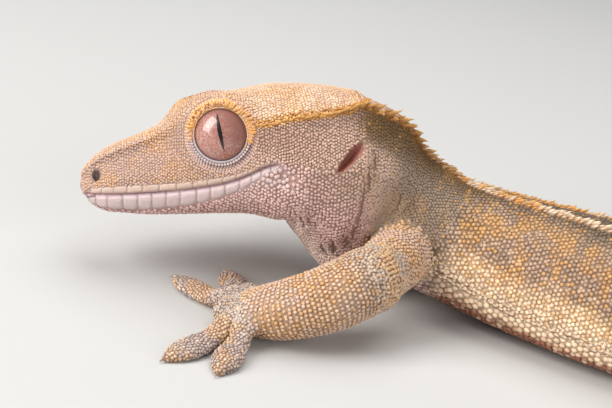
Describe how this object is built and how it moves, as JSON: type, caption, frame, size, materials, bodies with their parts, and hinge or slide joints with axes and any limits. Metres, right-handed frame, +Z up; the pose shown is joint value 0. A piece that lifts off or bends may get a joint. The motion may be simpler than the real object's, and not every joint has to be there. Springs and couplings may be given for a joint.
{
  "type": "crested gecko",
  "caption": "Life-size crested gecko, a museum model with its head raised and turned, a splayed padded hand forward and its tail laid on the floor.",
  "frame": {"origin": "the middle of the footprint's box, on the floor the animal rests on", "axes": "-X towards the snout, +X towards the rump, -Y to the animal's own left, +Z up"},
  "size_m": [0.2004, 0.085, 0.0258],
  "materials": {
    "head_skin": "dry scaled skin, matt",
    "skin": "dry scaled skin, matt",
    "limb_skin": "dry scaled skin, matt",
    "eye": "wet clear cornea over a veined iris"
  },
  "bodies": {
    "root": {"eye_left": "eye", "eye_right": "eye", "head": "head_skin", "left_foot": "limb_skin", "left_forearm": "limb_skin", "left_hand": "limb_skin", "left_shank": "limb_skin", "left_thigh": "limb_skin", "left_upper_arm": "limb_skin", "neck": "skin", "right_foot": "limb_skin", "right_forearm": "limb_skin", "right_hand": "limb_skin", "right_shank": "limb_skin", "right_thigh": "limb_skin", "right_upper_arm": "limb_skin", "tail_1": "skin", "tail_2": "skin", "tail_3": "skin", "torso": "skin"}
  },
  "joints": []
}
